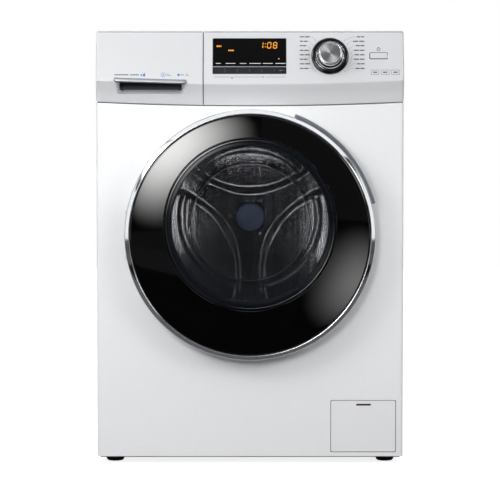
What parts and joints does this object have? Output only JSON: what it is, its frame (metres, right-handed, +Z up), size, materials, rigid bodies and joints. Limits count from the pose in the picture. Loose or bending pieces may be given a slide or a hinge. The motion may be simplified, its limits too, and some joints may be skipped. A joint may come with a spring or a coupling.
{
  "type": "front-loading washing machine",
  "caption": "Freestanding front-loading washer with a round dark-glass door, creased control fascia, detergent drawer, suspended tub and drum.",
  "frame": {"origin": "on the floor, under the middle of the overall box", "axes": "+Z up, -Y out of the front, +X to the right as seen from the front"},
  "size_m": [0.6, 0.6, 0.85],
  "materials": {
    "white_paint": "smooth semi-gloss powder coat",
    "white_laminate": "laminated board with a moulded edge",
    "white_plastic": "satin moulded ABS",
    "black_gloss": "high-gloss black",
    "smoked_lens": "smoked polished lens",
    "clear_glass": "pressed clear glass",
    "chrome_trim": "chrome-plated trim",
    "spun_metal": "radially spun cap",
    "stainless": "perforated stainless sheet",
    "steel": "zinc-plated steel",
    "cast_alloy": "as-cast alloy",
    "grey_metallic": "metallic grey lacquer",
    "grey_rubber": "moulded matt seal rubber",
    "black_rubber": "matt rubber",
    "tub_plastic": "filled polypropylene",
    "grey_plastic": "moulded grey plastic",
    "blue_plastic": "moulded blue plastic",
    "circuit_board": "coated circuit board",
    "concrete": "cast concrete",
    "copper": "enamelled copper windings"
  },
  "bodies": {
    "cabinet": {"cabinet_shell": "white_paint", "front_panel": "white_paint", "top_cover": "white_laminate", "rear_cover": "steel", "base_pan": "steel", "control_panel": "white_plastic", "display_window": "black_gloss", "touch_strip": "black_gloss", "control_board": "circuit_board", "knob_bezel": "black_gloss", "dispenser_housing": "white_plastic", "hinge_bracket": "cast_alloy", "hinge_pin": "steel", "door_lock": "grey_plastic", "door_gasket": "grey_rubber", "suspension_spring_left": "steel", "suspension_spring_right": "steel", "drain_pump": "grey_plastic", "sump_hose": "black_rubber", "inlet_valve": "white_plastic"},
    "door": {"door_trim_ring": "chrome_trim", "door_cover": "black_gloss", "door_window": "smoked_lens", "door_frame": "white_plastic", "glass_bowl": "clear_glass", "glass_bowl_end": "clear_glass", "door_handle": "grey_metallic", "door_hinge_arm": "cast_alloy", "door_hook": "steel"},
    "drawer": {"drawer_front": "white_plastic", "drawer_handle": "chrome_trim", "drawer_tray": "white_plastic"},
    "knob": {"programme_knob": "chrome_trim", "knob_cap": "spun_metal"},
    "button": {"power_button": "white_plastic"},
    "tub": {"tub_front": "tub_plastic", "tub_rear": "tub_plastic", "heater": "steel", "counterweight_top": "concrete", "counterweight_front": "concrete", "bearing_front": "steel", "bearing_rear": "steel", "motor_stator": "copper"},
    "drum": {"drum": "stainless", "lifter_1": "grey_plastic", "lifter_2": "grey_plastic", "lifter_3": "grey_plastic", "drum_spider": "cast_alloy", "drum_shaft": "steel", "motor_rotor": "steel"},
    "damper_left": {"damper_cylinder_left": "grey_plastic"},
    "damper_right": {"damper_cylinder_right": "grey_plastic"},
    "rod_left": {"damper_rod_left": "steel"},
    "rod_right": {"damper_rod_right": "steel"},
    "hatch": {"filter_hatch": "white_plastic"},
    "filter": {"filter_plug": "blue_plastic"},
    "foot_fl": {"foot_front_left": "black_rubber"},
    "foot_fr": {"foot_front_right": "black_rubber"},
    "foot_rl": {"foot_rear_left": "black_rubber"},
    "foot_rr": {"foot_rear_right": "black_rubber"}
  },
  "joints": [
    {"name": "door_hinge", "type": "hinge", "parent": "cabinet", "child": "door", "pos_m": [-0.236, -0.276, 0.452], "axis": [0, 0, -1], "range_deg": [0, 150]},
    {"name": "drawer_slide", "type": "slide", "parent": "cabinet", "child": "drawer", "axis": [0, -1, 0], "range_m": [0, 0.19]},
    {"name": "knob_turn", "type": "hinge", "parent": "cabinet", "child": "knob", "pos_m": [0.1557, -0.25629, 0.80005], "axis": [0, -0.9848, 0.1736], "continuous": true},
    {"name": "power_press", "type": "slide", "parent": "cabinet", "child": "button", "axis": [0, 0.9848, -0.1736], "range_m": [0, 0.0015], "stiffness_N_per_m": 400, "springref_m": -0.0005},
    {"name": "tub_bounce", "type": "slide", "parent": "cabinet", "child": "tub", "axis": [0, 0, 1], "range_m": [-0.008, 0.008], "stiffness_N_per_m": 9000, "springref_m": 0.0425, "deforming": ["door_gasket", "suspension_spring_left", "suspension_spring_right", "sump_hose"]},
    {"name": "drum_spin", "type": "hinge", "parent": "tub", "child": "drum", "pos_m": [0, 0.2, 0.473], "axis": [0, -1, 0], "continuous": true},
    {"name": "damper_tilt_left", "type": "hinge", "parent": "cabinet", "child": "damper_left", "pos_m": [-0.225, 0.016, 0.052], "axis": [0, -1, 0], "range_deg": [-1, 1]},
    {"name": "damper_tilt_right", "type": "hinge", "parent": "cabinet", "child": "damper_right", "pos_m": [0.225, 0.016, 0.052], "axis": [0, 1, 0], "range_deg": [-1, 1]},
    {"name": "damper_rod_slide_left", "type": "slide", "parent": "damper_left", "child": "rod_left", "axis": [0.3146, 0, 0.9492], "range_m": [-0.009, 0.009]},
    {"name": "damper_rod_slide_right", "type": "slide", "parent": "damper_right", "child": "rod_right", "axis": [-0.3146, 0, 0.9492], "range_m": [-0.009, 0.009]},
    {"name": "hatch_hinge", "type": "hinge", "parent": "cabinet", "child": "hatch", "pos_m": [0.2222, -0.2528, 0.0264], "axis": [1, 0, 0], "range_deg": [0, 95]},
    {"name": "filter_turn", "type": "hinge", "parent": "cabinet", "child": "filter", "pos_m": [0.222, -0.204, 0.075], "axis": [0, -1, 0], "range_deg": [0, 180]},
    {"name": "foot_fl_height", "type": "slide", "parent": "cabinet", "child": "foot_fl", "axis": [0, 0, -1], "range_m": [0, 0.015]},
    {"name": "foot_fr_height", "type": "slide", "parent": "cabinet", "child": "foot_fr", "axis": [0, 0, -1], "range_m": [0, 0.015]},
    {"name": "foot_rl_height", "type": "slide", "parent": "cabinet", "child": "foot_rl", "axis": [0, 0, -1], "range_m": [0, 0.015]},
    {"name": "foot_rr_height", "type": "slide", "parent": "cabinet", "child": "foot_rr", "axis": [0, 0, -1], "range_m": [0, 0.015]}
  ],
  "couplings": [
    {"joint": "damper_tilt_left", "follows": "tub_bounce", "rad_per_m": 1.5782},
    {"joint": "damper_tilt_right", "follows": "tub_bounce", "rad_per_m": 1.5782},
    {"joint": "damper_rod_slide_left", "follows": "tub_bounce", "ratio": 0.94923},
    {"joint": "damper_rod_slide_right", "follows": "tub_bounce", "ratio": 0.94923}
  ]
}
